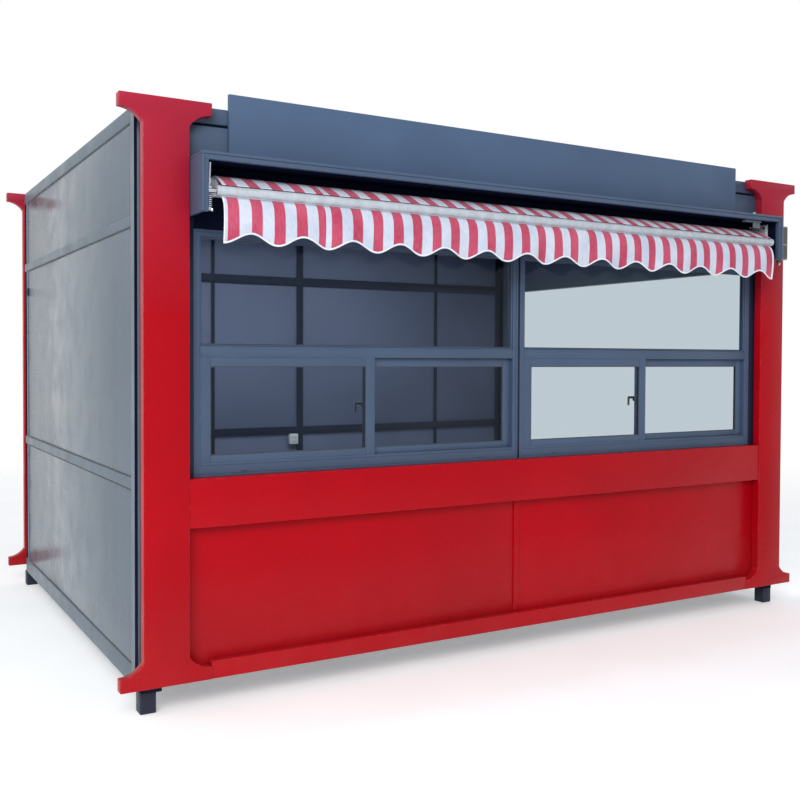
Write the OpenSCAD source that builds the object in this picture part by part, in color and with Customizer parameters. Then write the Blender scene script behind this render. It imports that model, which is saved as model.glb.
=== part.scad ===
// Portable canteen cabin: steel frame on four feet, clad walls, a red front with
// shaped corner columns, two sliding window units, a sign board and an awning hood.
// Millimetres, +Z up. Origin: centre of the footprint, on the ground. Front is -Y.

/* [Overall] */
// width over the corner columns
body_w = 4010; // [3400:10:4800]
// depth from the front column face to the rear column face
body_d = 2940; // [2400:10:3500]
// height of the corner columns
col_h = 2500; // [2380:10:2900]
// clear height of the feet below the columns
foot_h = 126; // [90:1:200]

/* [Columns] */
// width of a corner column
col_w = 200; // [150:1:260]
// thickness of a corner column
col_t = 50; // [40:1:60]
// how far the top and bottom of a column flare out at each side
flare = 100; // [60:1:130]
// height of the straight end of a flare
flare_t = 56; // [40:1:75]
// height of the curve under a flare
cove_h = 55; // [40:1:59]

/* [Walls] */
// thickness of the side walls
side_t = 60; // [50:1:75]
// width of the upright at each end of a side wall
side_post = 100; // [80:1:130]
// thickness of the front and rear walls
wall_t = 50; // [40:1:60]
// height of the top beams
beam_h = 70; // [60:1:90]
// distance from column foot to the lower side rail
rail_z = 828; // [750:1:880]
// height of the lower side rail
rail_h = 50; // [40:1:70]
// distance from column foot to the upper side rail
upper_z = 1974; // [1900:1:2040]
// height of the upper side rail
upper_h = 48; // [40:1:60]
// height of the beam over the open end
end_beam_h = 100; // [80:1:130]

/* [Front] */
// window sill above the column foot
sill_z = 880; // [840:1:960]
// top of the windows above the column foot
head_z = 1965; // [1880:1:2000]
// height of the red rail under the windows
rail_front_h = 214; // [160:1:240]
// height of the red bottom rail
bottom_h = 78; // [70:1:110]
// projection of the hood in front of the columns
hood_out = 155; // [140:1:200]
// height of the hood
hood_h = 250; // [235:1:290]
// width of the sign board
sign_w = 3210; // [2600:10:3300]
// offset of the sign board's centre
sign_x = -15; // [-40:1:40]
// height of the sign board above the hood
sign_h = 281; // [240:1:330]
// offset of the strip between the two apron panels
strip_x = -20; // [-60:1:60]

/* [Windows] */
// visible face of a window frame
frame_w = 30; // [24:1:40]
// height of the rail under the fixed light
transom_h = 48; // [36:1:60]
// distance from sill to that rail
transom_z = 527; // [440:1:600]
// visible face of a sash stile
stile_w = 48; // [36:1:60]
// visible face of the top and bottom rails of a sash
sash_rail = 42; // [32:1:52]

/* [Awning] */
// radius of the front bar
bar_r = 23; // [18:0.5:26]
// radius of the rolled cloth
roll_r = 34; // [28:0.5:42]
// drop of the scalloped valance
valance_h = 200; // [150:1:230]
// number of scallops
scallops = 14; // [8:1:18]

/* [Hidden] */
$fn = 32;
z0 = foot_h;
z_top = z0 + col_h;
y0 = hood_out - (body_d + hood_out) / 2;
y1 = y0 + body_d;
yc = (y0 + y1) / 2;
half = body_w / 2;
col_in = half - col_w;
skin_in = half - side_t;
// corner posts, set in from the end of the cabin
post_set = 12;
post_w = 80;
post_in = half - post_set;
lip = post_in - post_w;
// side walls start behind the corner posts
wall_y = col_t + 50;
panel_set = 4;
// feet and the steel they carry
foot_w = 70;
sill_drop = 33;
floor_z = 55;
floor_t = 25;
// front sheets: thickness, and how far they reach in behind a column
skin_t = 10;
tuck = 100;
gap_y = col_t + skin_t;
back_y = gap_y + wall_t;
rail_y = 3;
beam_z = z_top - 7 - beam_h;
rail_gap = 12;
// hood
hood_top_t = 33;
hood_side = 30;
hood_gap = 2;
hood_top = beam_z - 161;
hood_low = hood_top - hood_h;
hood_out_x = col_in - hood_gap;
hood_in = hood_out_x - hood_side;
// awning
sheet = 3;
bracket_t = 12;
arm_len = 740;
bar_half = hood_in - 42;
cloth_half = bar_half - 20;
bar_y = -(hood_out - bar_r - 4);
bar_drop = 47;
roll_room = 43;
bracket_h = 140;
roll_y = -12;
roll_z = hood_top - hood_top_t - roll_room - roll_r;
bar_z = roll_z - bar_drop;
touch_gap = 0.3;
// windows
reveal = 36;
win_half = col_in - reveal;
mullion = 7;
unit_w = win_half - mullion;
unit_x = mullion + unit_w / 2;
track_h = 50;
sash_over = stile_w - 2;
sash_w = (unit_w - 2 * frame_w + sash_over) / 2;
sash_z = sill_z + track_h;
sash_h = transom_z - track_h;
sash_t = 21;
sash_gap = 2;
sash_set = 3;
glass_t = 5;
light_set = 22;

navy = [0.15, 0.18, 0.24];
slate = [0.33, 0.39, 0.48];
grey = [0.52, 0.56, 0.60];
red = [0.72, 0.07, 0.11];
white = [0.88, 0.90, 0.93];
clear = [0.55, 0.66, 0.70, 0.35];

// block from one corner to the other, y counted back from the front column face
// and z counted up from the column foot
module blk(xa, xb, ya, yb, za, zb) {
  translate([xa, y0 + ya, z0 + za])
    cube([xb - xa, yb - ya, zb - za]);
}

// the same block repeated at the other end of the cabin
module both(xa, xb, ya, yb, za, zb) {
  blk(xa, xb, ya, yb, za, zb);
  blk(-xb, -xa, ya, yb, za, zb);
}

// mirror image towards the rear
module rear() {
  translate([0, 2 * yc, 0])
    mirror([0, 1, 0])
      children();
}

// outline of one column: a straight shaft with a curved flare at top and bottom
cove_r = (flare * flare + cove_h * cove_h) / (2 * cove_h);
cove_a = asin(flare / cove_r);
function cove(n) = [for (i = [0 : n])
  [col_w / 2 + flare - cove_r * sin(cove_a * i / n),
   flare_t + cove_r * (1 - cos(cove_a * i / n))]];
function flip(p) = [for (i = [len(p) - 1 : -1 : 0]) p[i]];
function low_half(c) = concat([[col_w / 2 + flare, 0]], c);
function high_half(c) = [for (q = flip(low_half(c))) [q[0], col_h - q[1]]];
function right_side(c) = concat(low_half(c), high_half(c));
function left_side(c) = [for (q = flip(right_side(c))) [-q[0], q[1]]];
module column(side) {
  translate([side * (half - col_w / 2), y0 + col_t, z0])
    rotate([90, 0, 0])
      linear_extrude(col_t)
        polygon(concat(right_side(cove(8)), left_side(cove(8))));
}

module feet() color(navy) {
  ya = col_t + post_set;
  both(half - foot_w, half, ya, ya + foot_w, -z0, -sill_drop);
  rear() both(half - foot_w, half, ya, ya + foot_w, -z0, -sill_drop);
}

module corner_posts() color(navy) {
  both(lip, post_in, col_t, wall_y, -sill_drop, beam_z - z0);
  rear() both(lip, post_in, col_t, wall_y, -sill_drop, beam_z - z0);
}

module base_frame() color(navy) {
  blk(-lip, lip, col_t, back_y, 0, floor_z);
  rear() blk(-lip, lip, col_t, back_y, 0, floor_z);
  both(skin_in - 60, skin_in, wall_y, body_d - wall_y, 0, floor_z);
  for (x = [-1, 0, 1])
    blk(x * skin_in / 2 - 25, x * skin_in / 2 + 25, back_y - 1, body_d - back_y + 1, 0, floor_z);
}

module floor_panel() color(grey) {
  blk(-skin_in, skin_in, back_y, body_d - back_y, floor_z, floor_z + floor_t);
}

module front_jambs() color(navy) {
  both(win_half, lip, gap_y, back_y, floor_z, beam_z - z0);
}

module column_front_left() color(red) {
  column(-1);
}

module column_front_right() color(red) {
  column(1);
}

module column_rear_left() color(red) {
  rear() column(-1);
}

module column_rear_right() color(red) {
  rear() column(1);
}

module front_top_beam() color(slate) {
  blk(-post_in, post_in, col_t, wall_y, beam_z - z0, beam_z + beam_h - z0);
}

module rear_top_beam() color(slate) {
  rear() blk(-post_in, post_in, col_t, wall_y, beam_z - z0, beam_z + beam_h - z0);
}

// a side wall frame with its bays cut through; bays is a list of [low, high]
module side_frame(s, bays) {
  ya = wall_y + side_post;
  yb = body_d - ya;
  translate([s > 0 ? skin_in : -half, y0 + wall_y, z0 - sill_drop])
    difference() {
      cube([side_t, body_d - 2 * wall_y, beam_z + beam_h - 4 - z0 + sill_drop]);
      for (b = bays)
        translate([-1, side_post, b[0] + sill_drop])
          cube([side_t + 2, yb - ya, b[1] - b[0]]);
    }
}

low_bay = [floor_z, rail_z];
mid_bay = [rail_z + rail_h, upper_z];
top_bay = [upper_z + upper_h, beam_z - z0];
door_bay = [floor_z, upper_z];
end_bay = [upper_z + end_beam_h, beam_z - z0];

module left_wall_frame() color(grey) {
  side_frame(-1, [low_bay, mid_bay, top_bay]);
}

module side_panel(s, b) {
  xa = (s > 0 ? skin_in : -half) + panel_set;
  ya = wall_y + side_post;
  blk(xa, xa + side_t - 2 * panel_set, ya, body_d - ya, b[0], b[1]);
}

module left_wall_panels() color(grey) {
  for (b = [low_bay, mid_bay, top_bay])
    side_panel(-1, b);
}

module right_wall_frame() color(grey) {
  side_frame(1, [door_bay, end_bay]);
}

module right_wall_panel() color(grey) {
  side_panel(1, end_bay);
}

module rear_bays(grow, ya, yb) {
  for (s = [-1, 1], b = [low_bay, mid_bay, top_bay])
    blk(min(s * 24, s * (lip - 60)), max(s * 24, s * (lip - 60)),
        ya - grow, yb + grow, b[0] + (b == low_bay ? 50 : 0), b[1] - (b == top_bay ? 50 : 0));
}

module rear_wall_frame() color(grey) {
  ya = body_d - back_y;
  yb = body_d - gap_y;
  difference() {
    blk(-lip, lip, ya, yb, floor_z, beam_z - z0);
    rear_bays(1, ya, yb);
  }
}

module rear_wall_panels() color(grey) {
  rear_bays(0, body_d - back_y + 5, body_d - gap_y - 4);
}

module rear_studs() color(navy) {
  ya = body_d - back_y - 15;
  yb = body_d - back_y;
  blk(-24, 24, ya, yb, floor_z + floor_t, beam_z - z0);
  blk(-lip, lip, ya, yb, rail_z, rail_z + rail_h);
  blk(-lip, lip, ya, yb, upper_z - 12, upper_z + upper_h);
}

module wall_socket() color(white) {
  blk(-98, -26, body_d - back_y - 40, body_d - back_y + 5, rail_z - 83, rail_z - 3);
}

module roof_panel() color(grey) {
  blk(-skin_in, skin_in, wall_y, body_d - wall_y, beam_z - z0, beam_z - z0 + 46);
}

module front_header() color(navy) {
  blk(-win_half, win_half, gap_y, back_y, head_z, beam_z - z0);
}

module fascia_panel() color(slate) {
  blk(-(half - tuck), half - tuck, col_t, gap_y, hood_top - z0, beam_z - rail_gap - z0);
}

sign_y = 20;
sign_t = 4;
module sign_board() color(slate) {
  blk(sign_x - sign_w / 2, sign_x + sign_w / 2, sign_y, sign_y + sign_t,
      hood_top - z0 + 13, hood_top - z0 + 13 + sign_h);
}

module sign_battens() color(navy) {
  for (i = [-1.5, -0.5, 0.5, 1.5])
    blk(sign_x + i * sign_w / 4.2 - 15, sign_x + i * sign_w / 4.2 + 15, sign_y + sign_t, col_t,
        hood_top - z0 + 30, beam_z + beam_h - 6 - z0);
}

module hood_top_panel() color(slate) {
  blk(-hood_out_x, hood_out_x, -hood_out, gap_y,
      hood_top - hood_top_t - z0, hood_top - z0);
}

module hood_end(s) {
  blk(min(s * hood_in, s * hood_out_x), max(s * hood_in, s * hood_out_x), -hood_out, gap_y,
      hood_low - z0, hood_top - hood_top_t - z0);
}

module hood_end_left() color(slate) {
  hood_end(-1);
}

module hood_end_right() color(slate) {
  hood_end(1);
}

module awning_brackets() color(white) {
  both(hood_in - bracket_t, hood_in, -70, gap_y,
       roll_z - z0 - bracket_h / 2, roll_z - z0 + bracket_h / 2);
}

module awning_roller() color(white) {
  translate([-(hood_in - bracket_t), y0 + roll_y, roll_z])
    rotate([0, 90, 0])
      cylinder(r = roll_r, h = 2 * (hood_in - bracket_t));
}

module awning_arms() color(white) {
  for (s = [-1, 1]) {
    xo = hood_in - bracket_t;
    xi = xo - arm_len;
    blk(min(s * xi, s * xo), max(s * xi, s * xo), -70, -45, bar_z - z0 - 16, bar_z - z0 + 16);
    blk(min(s * xi, s * (xi + 60)), max(s * xi, s * (xi + 60)),
        bar_y + bar_r, -69, bar_z - z0 - 12, bar_z - z0 + 12);
  }
}

module awning_front_bar() color(white) {
  translate([-bar_half, y0 + bar_y, bar_z])
    rotate([0, 90, 0])
      cylinder(r = bar_r, h = 2 * bar_half);
}

// the strip of cloth between the roll and the front bar, along the line that
// touches both on their upper side
reach = norm([roll_y - bar_y, roll_z - bar_z]);
slope = atan2(roll_z - bar_z, roll_y - bar_y);
lean = slope + acos((bar_r - roll_r) / reach);
function touch(c, r) = [c[0] + r * cos(lean), c[1] + r * sin(lean)];
module awning_canopy() color(red) {
  bar_c = [bar_y, bar_z];
  roll_c = [roll_y, roll_z];
  translate([-cloth_half, y0, 0])
    rotate([90, 0, 90])
      linear_extrude(2 * cloth_half)
        polygon([touch(bar_c, bar_r + touch_gap), touch(roll_c, roll_r + touch_gap),
                 touch(roll_c, roll_r + touch_gap + sheet), touch(bar_c, bar_r + touch_gap + sheet)]);
}

function wave(i, n) = valance_h - 22 + 22 * cos(360 * i / n);
module awning_valance() color(red) {
  n = 12;
  m = scallops * n;
  top = bar_z - bar_r - touch_gap;
  w = 2 * cloth_half;
  edge = [for (i = [0 : m]) [-cloth_half + w * i / m, top - wave(i, n)]];
  translate([0, y0 + bar_y + sheet / 2, 0])
    rotate([90, 0, 0])
      linear_extrude(sheet)
        polygon(concat(edge, [[cloth_half, top], [-cloth_half, top]]));
}

module awning_gearbox() color(navy) {
  xa = hood_out_x;
  blk(xa, xa + 50, -hood_out + 4, -60, hood_low - z0 - 36, hood_top - z0 - 56);
}

module front_lower_wall() color(grey) {
  blk(-win_half, win_half, gap_y, back_y, floor_z, sill_z);
}

module front_rail() color(red) {
  blk(-col_in, col_in, rail_y, gap_y, sill_z - rail_front_h, sill_z);
}

module apron_panels() color(red) {
  blk(-(half - tuck), strip_x - 2, col_t, gap_y, floor_z, sill_z - rail_front_h);
  blk(strip_x + 2, half - tuck, col_t, gap_y, floor_z, sill_z - rail_front_h);
}

module apron_strip() color(red) {
  blk(strip_x - 17, strip_x + 17, col_t - 6, col_t, bottom_h, sill_z - rail_front_h);
}

module bottom_rail() color(red) {
  blk(-(col_in - flare), col_in - flare, rail_y, col_t, 0, bottom_h);
}

module mullion_bar() color(navy) {
  blk(-mullion, mullion, gap_y + 4, back_y, sill_z, head_z);
}

module window_frame(s) {
  xa = s * unit_x - unit_w / 2;
  difference() {
    blk(xa, xa + unit_w, gap_y, back_y, sill_z, head_z);
    blk(xa + frame_w, xa + unit_w - frame_w, gap_y - 1, back_y + 1, sash_z, sash_z + sash_h);
    blk(xa + frame_w, xa + unit_w - frame_w, gap_y - 1, back_y + 1,
        sill_z + transom_z + transom_h, head_z - frame_w);
  }
}

module window_frame_left() color(slate) {
  window_frame(-1);
}

module window_frame_right() color(slate) {
  window_frame(1);
}

// one sliding sash with its opening; k is 0 for the left sash, 1 for the right
module sash(s, k) {
  xa = s * unit_x - unit_w / 2 + frame_w + k * (sash_w - sash_over);
  ya = gap_y + sash_set + k * (sash_t + sash_gap);
  difference() {
    blk(xa, xa + sash_w, ya, ya + sash_t, sash_z, sash_z + sash_h);
    blk(xa + stile_w, xa + sash_w - stile_w, ya - 1, ya + sash_t + 1,
        sash_z + sash_rail, sash_z + sash_h - sash_rail);
  }
}

module outer_sashes() color(slate) {
  sash(-1, 0);
  sash(1, 0);
}

module inner_sashes() color(slate) {
  sash(-1, 1);
  sash(1, 1);
}

module pane(s, k) {
  xa = s * unit_x - unit_w / 2 + frame_w + k * (sash_w - sash_over);
  ya = gap_y + sash_set + k * (sash_t + sash_gap) + (sash_t - glass_t) / 2;
  blk(xa + stile_w, xa + sash_w - stile_w, ya, ya + glass_t,
      sash_z + sash_rail, sash_z + sash_h - sash_rail);
}

module window_glass() color(clear) {
  for (s = [-1, 1]) {
    xa = s * unit_x - unit_w / 2 + frame_w;
    blk(xa, xa + unit_w - 2 * frame_w, gap_y + light_set, gap_y + light_set + glass_t,
        sill_z + transom_z + transom_h, head_z - frame_w);
    pane(s, 0);
    pane(s, 1);
  }
}

feet();
base_frame();
floor_panel();
corner_posts();
front_jambs();
column_front_left();
column_front_right();
column_rear_left();
column_rear_right();
front_top_beam();
rear_top_beam();
left_wall_frame();
left_wall_panels();
right_wall_frame();
right_wall_panel();
rear_wall_frame();
rear_wall_panels();
rear_studs();
wall_socket();
roof_panel();
front_header();
fascia_panel();
sign_board();
sign_battens();
hood_top_panel();
hood_end_left();
hood_end_right();
awning_brackets();
awning_roller();
awning_arms();
awning_front_bar();
awning_canopy();
awning_valance();
awning_gearbox();
front_lower_wall();
front_rail();
apron_panels();
apron_strip();
bottom_rail();
mullion_bar();
window_frame_left();
window_frame_right();
outer_sashes();
inner_sashes();
window_glass();
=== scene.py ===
# %% [markdown]
# # Portable canteen cabin
# A steel cabin for selling food: four red corner columns, grey clad walls, two
# sliding window units under a hood, and a striped awning that rolls into the hood.
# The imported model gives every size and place. Here each piece gets the bevels,
# beads, seals, screws and finishes that the maker of the real one would see.

# %% Load the frame
import math
import bmesh
import bpy
from mathutils import Matrix, Vector


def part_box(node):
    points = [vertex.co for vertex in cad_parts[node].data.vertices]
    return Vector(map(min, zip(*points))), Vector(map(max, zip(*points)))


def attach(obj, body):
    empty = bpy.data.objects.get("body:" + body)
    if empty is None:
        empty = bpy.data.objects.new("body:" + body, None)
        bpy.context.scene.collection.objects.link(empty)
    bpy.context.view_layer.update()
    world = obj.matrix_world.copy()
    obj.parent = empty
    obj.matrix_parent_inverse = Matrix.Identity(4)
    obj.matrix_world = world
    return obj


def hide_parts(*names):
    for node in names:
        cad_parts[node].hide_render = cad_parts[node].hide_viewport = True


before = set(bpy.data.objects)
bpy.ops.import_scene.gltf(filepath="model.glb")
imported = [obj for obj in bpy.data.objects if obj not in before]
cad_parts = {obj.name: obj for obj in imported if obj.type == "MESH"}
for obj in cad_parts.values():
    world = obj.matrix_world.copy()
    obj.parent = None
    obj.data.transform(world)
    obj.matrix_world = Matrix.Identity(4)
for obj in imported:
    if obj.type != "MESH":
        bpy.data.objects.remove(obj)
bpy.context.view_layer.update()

# %% [markdown]
# ## Camera
# A buyer stands to the left of the front and looks along it, at eye height. A
# camera made from three directions is easier to check than one turned by angles:
# one points ahead, one to the right and one up. A small shift keeps uprights upright.

# %% Camera
EYE = Vector((-3.1429, -5.4456, 1.5284))
YAW, PITCH, ROLL = math.radians(30.156), math.radians(-1.322), math.radians(0.227)


def look_matrix(eye, yaw, pitch, roll):
    ahead = Vector((math.sin(yaw) * math.cos(pitch), math.cos(yaw) * math.cos(pitch), math.sin(pitch)))
    right = Vector((math.cos(yaw), -math.sin(yaw), 0.0))
    up = right.cross(ahead)
    right, up = (right * math.cos(roll) + up * math.sin(roll), up * math.cos(roll) - right * math.sin(roll))
    turned = Matrix((right, up, -ahead)).transposed().to_4x4()
    return Matrix.Translation(eye) @ turned


camera = bpy.data.objects.new("camera", bpy.data.cameras.new("camera"))
bpy.context.scene.collection.objects.link(camera)
camera.matrix_world = look_matrix(EYE, YAW, PITCH, ROLL)
camera.data.lens, camera.data.sensor_width = 43.877, 36.0
camera.data.shift_x, camera.data.shift_y = 0.00596, -0.02337
bpy.context.scene.camera = camera
bpy.context.scene.view_settings.view_transform = "Standard"
print("camera at", tuple(round(c, 2) for c in EYE))

# %% [markdown]
# ## Shader helpers
# Paint, metal, rubber and cloth are all built from the same few nodes: a noise for
# uneven colour, a noise for uneven gloss, and a fine noise for the surface feel. Short
# helpers keep each finish readable. Patterns sit on Object coordinates, in metres, so
# a noise scale of 900 makes grains of about a millimetre.

# %% Shader helpers
def tone(r, g, b):
    """A colour given as it is seen on a screen, 0 to 255, made linear."""
    return tuple(((c / 255 + 0.055) / 1.055) ** 2.4 if c > 10 else c / 255 / 12.92 for c in (r, g, b)) + (1.0,)


class Finish:
    """One material, with small methods that add and join its nodes."""

    def __init__(self, name):
        self.made = bpy.data.materials.new(name)
        self.made.use_nodes = True
        self.tree = self.made.node_tree
        self.shader = self.tree.nodes["Principled BSDF"]
        self.out = self.tree.nodes["Material Output"]
        self.place = self.add("ShaderNodeTexCoord").outputs["Object"]

    def add(self, kind, **settings):
        node = self.tree.nodes.new(kind)
        for key, value in settings.items():
            setattr(node, key, value)
        return node

    def join(self, source, target):
        self.tree.links.new(source, target)

    def feed(self, socket, value):
        if isinstance(value, bpy.types.NodeSocket):
            self.join(value, socket)
        else:
            socket.default_value = value

    def noise(self, scale, detail=3.0, stretch=(1, 1, 1), place=None):
        turn = self.add("ShaderNodeMapping")
        turn.inputs["Scale"].default_value = stretch
        self.join(place or self.place, turn.inputs["Vector"])
        node = self.add("ShaderNodeTexNoise")
        node.inputs["Scale"].default_value = scale
        node.inputs["Detail"].default_value = detail
        self.join(turn.outputs[0], node.inputs["Vector"])
        return node.outputs["Fac"]

    def spread(self, value, low, high, start=0.35, stop=0.65):
        node = self.add("ShaderNodeMapRange")
        for key, number in (("From Min", start), ("From Max", stop), ("To Min", low), ("To Max", high)):
            node.inputs[key].default_value = number
        self.join(value, node.inputs["Value"])
        return node.outputs["Result"]

    def math(self, operation, a, b=0.0):
        node = self.add("ShaderNodeMath", operation=operation)
        self.feed(node.inputs[0], a)
        self.feed(node.inputs[1], b)
        return node.outputs[0]

    def blend(self, share, one, other, kind="MIX"):
        node = self.add("ShaderNodeMix", data_type="RGBA", blend_type=kind)
        self.feed(node.inputs["Factor"], share)
        self.feed(node.inputs["A"], one)
        self.feed(node.inputs["B"], other)
        return node.outputs["Result"]

    def tag(self, name):
        return self.add("ShaderNodeAttribute", attribute_name=name).outputs["Fac"]

    def axis(self, letter, place=None):
        parts = self.add("ShaderNodeSeparateXYZ")
        self.join(place or self.place, parts.inputs[0])
        return parts.outputs[letter]

    def bump(self, *layers):
        """Bumps laid over each other. Each is (height, strength, distance in metres)."""
        normal = None
        for height, strength, distance in layers:
            node = self.add("ShaderNodeBump")
            node.inputs["Strength"].default_value = strength
            node.inputs["Distance"].default_value = distance
            self.join(height, node.inputs["Height"])
            if normal is not None:
                self.join(normal, node.inputs["Normal"])
            normal = node.outputs["Normal"]
        self.join(normal, self.shader.inputs["Normal"])


print("shader helpers ready")

# %% [markdown]
# ## Painted steel
# The columns, walls and frames are steel or aluminium with a baked paint. Such paint
# has a faint orange-peel skin, thin sheets wave a little between their welds, dust
# settles low down, and the sharp bends rub through to a paler tone. Paler streaks are a
# painted reflection of the surroundings, and the red turns pinker towards its top as a
# painted sky reflection. One recipe with a colour, a gloss and a waviness covers them
# all, so the cabin looks painted in one shop.

# %% Painted steel
def painted(name, colour, gloss=0.32, wave=0.6, worn=(150, 150, 152), shine=0.5, reflection_streak=0.0, sky=None):
    paint = Finish(name)
    blotch = paint.spread(paint.noise(1.7, 4.0), 0.0, 1.0)
    deep = tuple(c * 0.93 for c in colour[:3]) + (1.0,)
    pale = tuple(min(1.0, c * 1.06) for c in colour[:3]) + (1.0,)
    base = paint.blend(blotch, deep, pale)
    # Painted reflection: paler streaks, stretched along Z, lighten the colour as a mirror of the surroundings would.
    if reflection_streak:
        reflection_bands = paint.spread(paint.noise(5.0, 3.0, (1.0, 1.0, 0.05)), 0.0, reflection_streak, 0.42, 0.7)
        base = paint.blend(reflection_bands, base, tuple(min(1.0, c * 1.35 + 0.01) for c in colour[:3]) + (1.0,))
    # Painted reflection: from 1.7 m to 2.7 m up, the colour turns to the given sky colour, a sky sheen painted into
    # the paint.
    if sky:
        high = paint.spread(paint.axis("Z"), 0.0, 1.0, 1.7, 2.7)
        base = paint.blend(high, base, sky)
    low = paint.math("MULTIPLY", paint.spread(paint.axis("Z"), 0.10, 0.0, 0.05, 0.60), paint.noise(9.0, 5.0))
    base = paint.blend(low, base, tone(126, 118, 108))
    rub = paint.math("MULTIPLY", paint.tag("rub"), paint.spread(paint.noise(38.0, 4.0), 0.0, 0.32, 0.50, 0.68))
    base = paint.blend(rub, base, tone(*worn))
    paint.join(base, paint.shader.inputs["Base Color"])
    uneven = paint.math("ADD", paint.spread(paint.noise(6.0, 5.0), -0.05, 0.07), gloss)
    paint.join(paint.math("ADD", uneven, paint.math("MULTIPLY", rub, 0.25)), paint.shader.inputs["Roughness"])
    paint.shader.inputs["Specular IOR Level"].default_value = shine
    paint.bump((paint.noise(2.1, 1.0), wave, 0.004), (paint.noise(420.0, 2.0), 0.10, 0.0004))
    return paint.made


# The red turns to a pinker sky colour at the top of the columns, a painted sky reflection.
red_paint = painted("red_paint", tone(171, 3, 20), 0.30, 0.3, (204, 80, 84), 0.12, sky=tone(170, 40, 62))
slate_paint = painted("slate_paint", tone(72, 89, 114), 0.40, 0.2, (116, 130, 148), 0.25)
sign_paint = painted("sign_paint", tone(77, 97, 126), 0.46, 0.3, (116, 130, 148), 0.2)
# The grey sheets and the roof carry painted reflection streaks.
grey_paint = painted("grey_paint", tone(86, 99, 112), 0.24, 0.15, (150, 158, 166), 0.34, reflection_streak=0.25)
post_paint = painted("post_paint", tone(94, 107, 119), 0.40, 0.2, (160, 168, 176), 0.28)
navy_paint = painted("navy_paint", tone(24, 33, 52), 0.45, 0.2, (70, 80, 98), 0.22)
# A darker navy without any reflection, painted shade for the hood's inside, the corner tubes, the header under the
# hood and the gap at the left wall's front post.
navy_painted_shade = painted("navy_painted_shade", tone(17, 23, 43), 0.7, 0.2, (44, 52, 74), 0.0)
inner_paint = painted("inner_paint", tone(98, 105, 128), 0.5, 0.25, (110, 118, 132), 0.2)
roof_paint = painted("roof_paint", tone(126, 135, 145), 0.5, 0.6, (170, 176, 180), 0.25, reflection_streak=0.15)
print("paints ready")

# %% [markdown]
# ## Bare metal, rubber and plastic
# The awning's bar is white enamel on a rolled tube, in a greyer copy of the white that is
# painted shade, its levers are plated steel with fine drawing marks, the seals are black
# rubber, and the socket is moulded plastic.
# Plated steel needs Metallic at 1, the others need a soft sheen and a small grain.

# %% Bare metal, rubber and plastic
def small_part(name, colour, rough, grain, metal=0.0, drawn=(1, 1, 1), spread=0.08):
    stuff = Finish(name)
    deep = tuple(c * 0.84 for c in colour[:3]) + (1.0,)
    tint = stuff.blend(stuff.spread(stuff.noise(22.0, 4.0), 0.0, 1.0), deep, colour)
    tint = stuff.blend(stuff.math("MULTIPLY", stuff.tag("rub"), 0.35), tint, tone(196, 198, 200))
    stuff.join(tint, stuff.shader.inputs["Base Color"])
    uneven = stuff.spread(stuff.noise(60.0, 3.0, drawn), -spread, spread)
    stuff.join(stuff.math("ADD", uneven, rough), stuff.shader.inputs["Roughness"])
    stuff.shader.inputs["Metallic"].default_value = metal
    stuff.bump((stuff.noise(grain, 2.0, drawn), 0.12, 0.0004))
    return stuff.made


enamel = small_part("white_enamel", tone(222, 228, 236), 0.28, 300.0)
# A greyer copy of the white enamel, painted shade for the awning's bar.
shaded_bar_enamel = small_part("shaded_bar_enamel", tone(192, 200, 208), 0.32, 300.0)
plated = small_part("plated_steel", tone(196, 200, 206), 0.26, 700.0, 1.0, (0.05, 1, 1), 0.1)
rubber = small_part("black_rubber", tone(18, 22, 30), 0.62, 500.0)
plastic = small_part("white_plastic", tone(206, 208, 208), 0.4, 260.0)
dark_cast = small_part("cast_cover", tone(78, 76, 80), 0.5, 180.0)
print("small finishes ready")

# %% [markdown]
# ## Window glass
# The panes are thin, so what lies behind them isn't bent, only dimmed a little and
# veiled by the mirror of the sky. A Transparent shader lets lamps and sight through,
# a mirror comes in by Fresnel, and a little dust spoils the mirror in patches.

# %% Window glass
def pane_finish():
    glass = Finish("tinted_glass")
    mirror = glass.shader
    mirror.inputs["Metallic"].default_value = 1.0
    film = glass.spread(glass.noise(3.0, 5.0), 0.0, 1.0, 0.4, 0.7)
    glass.join(glass.blend(film, tone(158, 166, 178), tone(144, 150, 160)), mirror.inputs["Base Color"])
    glass.join(glass.spread(glass.noise(14.0, 5.0), 0.01, 0.09, 0.4, 0.75), mirror.inputs["Roughness"])
    clear = glass.add("ShaderNodeBsdfTransparent")
    clear.inputs["Color"].default_value = (0.72, 0.77, 0.80, 1.0)
    shine = glass.add("ShaderNodeFresnel")
    shine.inputs["IOR"].default_value = 1.42
    side = glass.add("ShaderNodeNewGeometry")
    outer = glass.math("SUBTRACT", 1.0, side.outputs["Backfacing"])
    both = glass.add("ShaderNodeMixShader")
    glass.join(glass.math("MULTIPLY", shine.outputs[0], outer), both.inputs[0])
    glass.join(clear.outputs[0], both.inputs[1])
    glass.join(mirror.outputs[0], both.inputs[2])
    glass.join(both.outputs[0], glass.out.inputs["Surface"])
    return glass.made


tinted_glass = pane_finish()
print("glass ready")

# %% [markdown]
# ## Striped awning cloth
# Awning cloth is woven with its stripes, and comes in widths that are sewn side by
# side, so at each seam one stripe turns out narrow or wide. The stripes follow the
# cloth's own UV map, whose U is the distance along the bar in metres. A fine weave and
# the shadow of the seam come from bumps on the same map.

# %% Striped cloth
STRIPE = 0.105
SEAMS = (-1.238, 0.240)
FIRST_RED = (-1.591, -1.211, 0.281)
THREADS = 5200.0


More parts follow.
